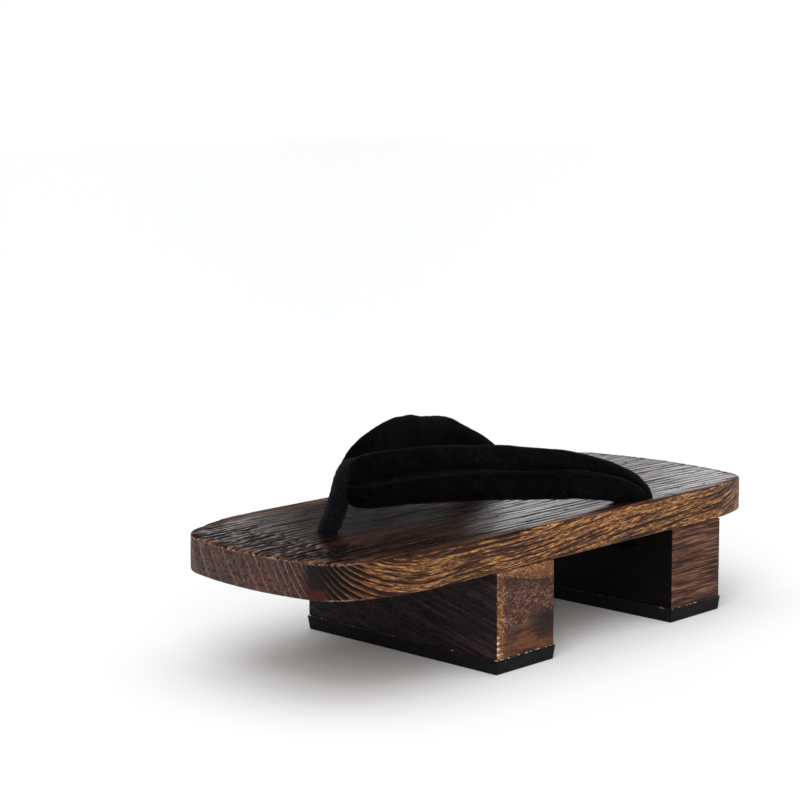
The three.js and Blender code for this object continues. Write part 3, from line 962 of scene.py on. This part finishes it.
RIGHT_BAND = [
    (76.6, 3.0, 15.6, 12.0, 3.4, 2, 26, 0.0),
    (75.2, 3.4, 16.2, 17.0, 7.2, 2, 26, 0.0),
    (72.0, 4.6, 17.8, 20.5, 8.8, 4, 25, 0.0),
    (66.0, 7.6, 20.4, 22.2, 9.2, 9, 18, 0.0),
    (56.0, 12.2, 22.0, 23.6, 9.4, 16, 10, 0.0),
    (42.0, 18.0, 24.0, 24.8, 9.5, 22, 5, 0.02),
    (25.0, 24.2, 24.7, 25.0, 9.5, 26, 3, 0.05),
    (5.0, 30.8, 22.0, 23.8, 9.5, 26, 7, 0.1),
    (-15.0, 37.0, 19.4, 22.2, 9.5, 22, 13, 0.18),
    (-33.0, 40.6, 13.0, 20.2, 9.6, 15, 22, 0.28),
    (-46.4, 42.8, 8.2, 18.6, 9.6, 8, 42, 0.36),
    (-53.6, 43.9, 4.2, 18.2, 9.6, 4, 66, 0.4),
    (-55.4, 44.3, 0.0, 18.0, 9.4, 0, 90, 0.4),
]
THONG_COLUMNS = ("y", "mid", "wide", "deep", "pitch")
THONG = [
    (87.2, -17.0, 7.0, 7.0, 90),
    (87.2, -0.4, 7.2, 7.2, 90),
    (86.5, 1.2, 8.6, 8.6, 84),
    (83.2, 6.7, 8.4, 8.4, 64),
    (79.9, 14.7, 8.4, 7.8, 70),
    (77.8, 20.2, 8.6, 7.4, 62),
    (75.4, 23.4, 9.0, 6.6, 44),
    (72.0, 24.6, 9.2, 5.6, 10),
    (68.6, 23.2, 8.6, 4.8, -30),
    (66.0, 20.6, 7.6, 4.0, -60),
]
# How the padding gathers: where along the band and over how far, where across it and over how much of it,
# from -1 to 1, and how deep as a share of the thickness. A ridge has a negative depth.
CREASE_COLUMNS = ("y", "run", "across", "spread", "depth")
LEFT_CREASES = [
    (-3.0, 1.1, -0.5, 0.35, 0.10),
    (-5.6, 1.6, -0.5, 0.35, -0.05),
    (-20.0, 4.0, 0.35, 0.16, 0.12),
    (-27.0, 3.0, -0.1, 0.2, 0.07),
    (58.0, 3.0, -0.4, 0.4, 0.05),
    (68.0, 2.2, 0.5, 0.4, 0.08),
    (72.4, 2.0, 0.7, 0.3, -0.12),
]
RIGHT_CREASES = [
    (-10.0, 2.0, 0.4, 0.4, 0.08),
    (20.0, 4.0, -0.4, 0.4, 0.06),
    (64.0, 2.4, 0.3, 0.5, 0.08),
]
BAND_SIDES = 84
THONG_SIDES = 24
SECTION_FULLNESS = 2.6


def hermite(a, b, slope_a, slope_b, t):
    """A smooth way from a to b, as t goes from 0 to 1, with these slopes at its ends."""
    t2, t3 = t * t, t * t * t
    leaving = (2 * t3 - 3 * t2 + 1) * a + (t3 - 2 * t2 + t) * slope_a
    return leaving + (3 * t2 - 2 * t3) * b + (t3 - t2) * slope_b


def refined(columns, rows, steps):
    """A section table's rows as dicts, with evenly spaced rows added between them on smooth curves."""
    count = (len(rows) - 1) * steps
    made = [{} for _ in range(count + 1)]
    for name, values in zip(columns, zip(*rows)):
        for k in range(count + 1):
            i = min(k // steps, len(rows) - 2)
            before = values[max(i - 1, 0)]
            after = values[min(i + 2, len(rows) - 1)]
            slope_here = (values[i + 1] - before) / (2 if i > 0 else 1)
            slope_next = (after - values[i]) / (2 if i < len(rows) - 2 else 1)
            made[k][name] = hermite(values[i], values[i + 1], slope_here, slope_next, k / steps - i)
    return made


def band_ring(centre, across, outward, row, creases):
    """A full section of the padded band, sewn on its outer face."""
    ring = []
    for k in range(BAND_SIDES):
        angle = 2 * math.pi * k / BAND_SIDES
        w, c = math.sin(angle), math.cos(angle)
        n = math.copysign((1 - abs(w) ** SECTION_FULLNESS) ** (1 / SECTION_FULLNESS), c)
        if c > 0:
            n = sewn(n, w, row, creases)
        ring.append(centre + across * (w * row["width"] / 2) + outward * (n * row["thick"] / 2))
    return ring


def sewn(n, w, row, creases):
    """The outer face with its sewn crease, narrow and deep, the lobe that swells below, and its gathers."""
    below = w - row["crease"]
    seam = seam_strength(row)
    n *= 1 - seam * (0.3 * math.exp(-(below / 0.06) ** 2) + 0.1 * math.exp(-(below / 0.2) ** 2))
    n *= 1 + seam * 0.08 * math.exp(-((below + 0.2) / 0.15) ** 2)
    return n * (1 - sum(gather(crease, row["y"], w) for crease in creases))


def seam_strength(row):
    """The crease fades out where the band turns down into the deck."""
    return 1 - ramp(row["pitch"], 45, 85)


def painted_crease_light(row):
    """For each point of a section: 1 in the crease, for its painted shade, and negative on the lobe below
    it, for its painted highlight.
    """
    values = []
    for k in range(BAND_SIDES):
        angle = 2 * math.pi * k / BAND_SIDES
        below = math.sin(angle) - row["crease"]
        crease_shade = math.exp(-((below - 0.02) / 0.06) ** 2)
        lobe_highlight = math.exp(-((below + 0.13) / 0.08) ** 2)
        values.append(seam_strength(row) * (crease_shade - lobe_highlight) if math.cos(angle) > 0 else 0.0)
    return values


def gather(crease, y, across):
    """How far one crease of the padding sinks the face at this place."""
    c = dict(zip(CREASE_COLUMNS, crease))
    along_it = (y - c["y"]) / c["run"]
    across_it = (across - c["across"]) / c["spread"]
    return c["depth"] * math.exp(-along_it ** 2 - across_it ** 2)


def band_rings(rows, creases, side):
    """The band's sections, each square to its own run. A side of -1 is the left and 1 the right."""
    rings = []
    for k, row in enumerate(rows):
        ahead, behind = rows[max(k - 1, 0)], rows[min(k + 1, len(rows) - 1)]
        plan = Vector((side * (behind["out"] - ahead["out"]), behind["y"] - ahead["y"], 0)).normalized()
        away = Vector((-side * plan.y, side * plan.x, 0))
        pitch, lean = math.radians(row["pitch"]), math.radians(row["lean"])
        up = Vector((0, 0, math.cos(pitch))) + plan * math.sin(pitch)
        across = up * math.cos(lean) - away * math.sin(lean)
        face = away * math.cos(lean) + up * math.sin(lean)
        centre = Vector((side * row["out"], row["y"], FOOTBED / MM + row["mid"]))
        rings.append([p * MM for p in band_ring(centre, across, face, row, creases)])
    return rings


def thong_rings():
    rings = []
    for row in refined(THONG_COLUMNS, THONG, 5):
        pitch = math.radians(row["pitch"])
        ahead = Vector((0, math.sin(pitch), math.cos(pitch)))
        centre = Vector((0, row["y"], FOOTBED / MM + row["mid"]))
        ring = []
        for k in range(THONG_SIDES):
            angle = 2 * math.pi * k / THONG_SIDES
            sideways = Vector((math.cos(angle) * row["wide"] / 2, 0, 0))
            ring.append((centre + sideways + ahead * (math.sin(angle) * row["deep"] / 2)) * MM)
        rings.append(ring)
    return rings


def loft(name, rings):
    """A circle extruded from section to section, and closed at both ends."""
    put_down()
    bpy.ops.mesh.primitive_circle_add(vertices=len(rings[0]), radius=MM, fill_type="NGON")
    piece = named(name)
    edit(piece)
    set_ring(piece, rings[0])
    for ring in rings[1:]:
        bpy.ops.mesh.extrude_region_move()
        set_ring(piece, ring)
    face_out(piece)
    return piece


def set_ring(piece, places):
    """Moves the newest ring of vertices to these places."""
    shape = bmesh.from_edit_mesh(piece.data)
    shape.verts.ensure_lookup_table()
    first = len(shape.verts) - len(places)
    for k, place in enumerate(places):
        shape.verts[first + k].co = place
    bmesh.update_edit_mesh(piece.data)


def soft_band(name, table, creases, side):
    rows = refined(BAND_COLUMNS, table, 9)
    band = loft(name, band_rings(rows, creases, side))
    write_values(band, "crease_shade_and_highlight", [value for row in rows for value in painted_crease_light(row)])
    apply(band, "SUBSURF", levels=1, render_levels=1)
    roughen(band, name + "_dents", BAND_DENTS)
    roughen(band, name + "_nap", BAND_NAP)
    smooth(band, 180)
    return band


def toe_thong():
    thong = loft("toe_thong", thong_rings())
    apply(thong, "SUBSURF", levels=2, render_levels=2)
    roughen(thong, "thong_tufts", THONG_TUFTS)
    smooth(thong, 180)
    return thong


def cord_turn(name, place, tip):
    """One turn of cord, tipped by so many degrees."""
    bpy.ops.mesh.primitive_torus_add(
        major_segments=36, minor_segments=14, major_radius=KNOT_RADIUS, minor_radius=KNOT_CORD_RADIUS,
        location=place, rotation=(math.radians(tip), 0, 0),
    )
    return named(name)


def cord_knot(name, hole):
    """A plain round knot just under the deck: two crossed turns of cord round its own tail."""
    put_down()
    x, y, z = hole.x, hole.y, UNDERSIDE - KNOT_DROP
    upper = cord_turn(name + "_upper", (x, y, z + KNOT_SPREAD), KNOT_TIP)
    lower = cord_turn(name + "_lower", (x, y, z - KNOT_SPREAD), -KNOT_TIP)
    bpy.ops.mesh.primitive_cylinder_add(
        vertices=24, radius=KNOT_TAIL_RADIUS, depth=KNOT_TAIL_LENGTH, location=(x, y, z + KNOT_TAIL_RISE),
    )
    tail = named(name + "_tail")
    edit(tail)
    ease(KNOT_TAIL_EASE, 3)
    put_down()
    for part in (upper, lower, tail):
        part.select_set(True)
    bpy.context.view_layer.objects.active = tail
    bpy.ops.object.join()
    tail.name = name
    roughen(tail, name + "_tufts", CORD_TUFTS)
    smooth(tail, 180)
    return tail


# ---- Room, light and camera ----

def pale_floor():
    put_down()
    bpy.ops.mesh.primitive_plane_add(size=14, location=(0, 0, 0))
    floor = named("floor")
    paper = Finish("white_paper")
    paper.set(Base_Color=(0.92, 0.925, 0.93, 1), Roughness=0.6, Specular_IOR_Level=0.1)
    floor.data.materials.append(paper.material)


def room_light():
    """A white room. What shows in the lacquer is brightest low down behind the heel, and dim overhead."""
    world = bpy.data.worlds.new("white_room")
    bpy.context.scene.world = world
    world.use_nodes = True
    room = Nodes(world.node_tree)
    way = room.add("ShaderNodeTexCoord").outputs["Generated"]
    height = room.add("ShaderNodeSeparateXYZ", {0: way}).outputs[Z]
    to_heel = room.add("ShaderNodeVectorMath", {0: way, 1: TO_HEEL}, operation="DOT_PRODUCT")
    rays = room.add("ShaderNodeLightPath").outputs
    walls = room.times(room.curve(to_heel.outputs["Value"], WALL_GLOW), 2.0)
    mirrored = room.times(walls, room.between(height, 0.17, 0.32, 1.0, 0.15), rays["Is Glossy Ray"])
    glow = room.plus(mirrored, room.between(rays["Is Diffuse Ray"], 0, 1, 0, 0.36))
    background = room.tree.nodes["Background"]
    room.feed(background.inputs["Color"], (1, 1, 1, 1))
    room.feed(background.inputs["Strength"], room.math("MAXIMUM", glow, rays["Is Camera Ray"]))
    bpy.context.scene.view_settings.view_transform = "Standard"


def soft_sun(name, comes_from, strength, spread):
    """A wide soft light that reaches the whole floor evenly."""
    put_down()
    bpy.ops.object.light_add(type="SUN")
    lamp = bpy.context.object
    lamp.name = name
    lamp.data.energy = strength
    lamp.data.angle = math.radians(spread)
    lamp.visible_glossy = False
    lamp.rotation_mode = "QUATERNION"
    lamp.rotation_quaternion = (-Vector(comes_from)).to_track_quat("-Z", "Y")


def camera():
    put_down()
    bpy.ops.object.camera_add()
    eye = bpy.context.object
    turn = (
        Matrix.Rotation(CAMERA_AZIMUTH, 4, "Z")
        @ Matrix.Rotation(math.pi / 2 - CAMERA_RISE, 4, "X")
        @ Matrix.Rotation(CAMERA_ROLL, 4, "Z")
    )
    back = turn.to_3x3() @ Vector((0, 0, 1))
    eye.matrix_world = Matrix.Translation(CAMERA_AIM + back * CAMERA_DISTANCE) @ turn
    eye.data.lens = CAMERA_LENS
    bpy.context.scene.camera = eye


# ---- The sandal ----

def dress(piece, materials, slot, *nodes, fill=None):
    """Gives a piece its finishes and its body, and hides the model's parts that it stands for."""
    piece.data.materials.clear()
    for material in materials:
        piece.data.materials.append(material)
    if len(materials) > 1:
        cover_top(piece)
    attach(piece, "root")
    if nodes:
        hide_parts(*nodes)


def cover_top(piece):
    """Gives the faces that look up the second finish."""
    edit(piece)
    pick(piece, "FACE", lambda face: face.normal.z > 0.6)
    piece.active_material_index = 1
    bpy.ops.object.material_slot_assign()
    put_down()


def wooden_parts():
    dress(deck_board(), [deck_edge_finish(), burnt_top_finish()], "burnt_wood", "deck")
    front = tooth_block("front_tooth_block", "front_tooth", front_tooth_ring, FRONT_TOOTH_GROOVES)
    dress(front, [front_tooth_finish()], "burnt_wood", "front_tooth")
    rear = tooth_block("rear_tooth_block", "rear_tooth", rear_tooth_ring, REAR_TOOTH_GROOVES)
    dress(rear, [rear_tooth_finish()], "burnt_wood", "rear_tooth")


def rubber_parts():
    rubber = rubber_finish()
    glue = glue_finish()
    for end in ("front", "rear"):
        dress(tread_slab(end + "_tread_slab", end + "_tread"), [rubber], "tread_rubber", end + "_tread")
        dress(glue_bead(end + "_glue_bead", end + "_tooth"), [glue], "tread_rubber")


def strap_parts():
    left_velvet = velvet_finish("black_velvet_left", 1.0)
    # The right band's velvet is the same cloth painted darker, as painted shade on its inner face.
    shaded_right_velvet = velvet_finish("black_velvet_right", 0.4)
    felt = felt_finish("black_felt", "060607", "151517", "323238", 0.07)
    # The cord is the thong's felt painted darker and without sheen, as painted shade, so that the knots
    # sink into the shade under the deck.
    cord = felt_finish("black_cord_painted_shade", "020202", "040404", "080808", 0.0)
    left = soft_band("left_band", LEFT_BAND, LEFT_CREASES, -1)
    dress(left, [left_velvet], "strap_velvet", "straps", fill=0.8)
    right = soft_band("right_band", RIGHT_BAND, RIGHT_CREASES, 1)
    dress(right, [shaded_right_velvet], "strap_velvet", "straps", fill=0.8)
    dress(toe_thong(), [felt], "strap_velvet", "straps")
    for name, hole in (("toe_knot", TOE_HOLE), ("left_knot", LEFT_HOLE), ("right_knot", RIGHT_HOLE)):
        dress(cord_knot(name, hole), [cord], "strap_velvet", "straps")


camera()
pale_floor()
room_light()
soft_sun("front_light", (-0.5, 0.7, 0.55), 1.85, 50)
soft_sun("top_light", (0.0, 0.1, 1.0), 1.5, 76)
wooden_parts()
rubber_parts()
strap_parts()
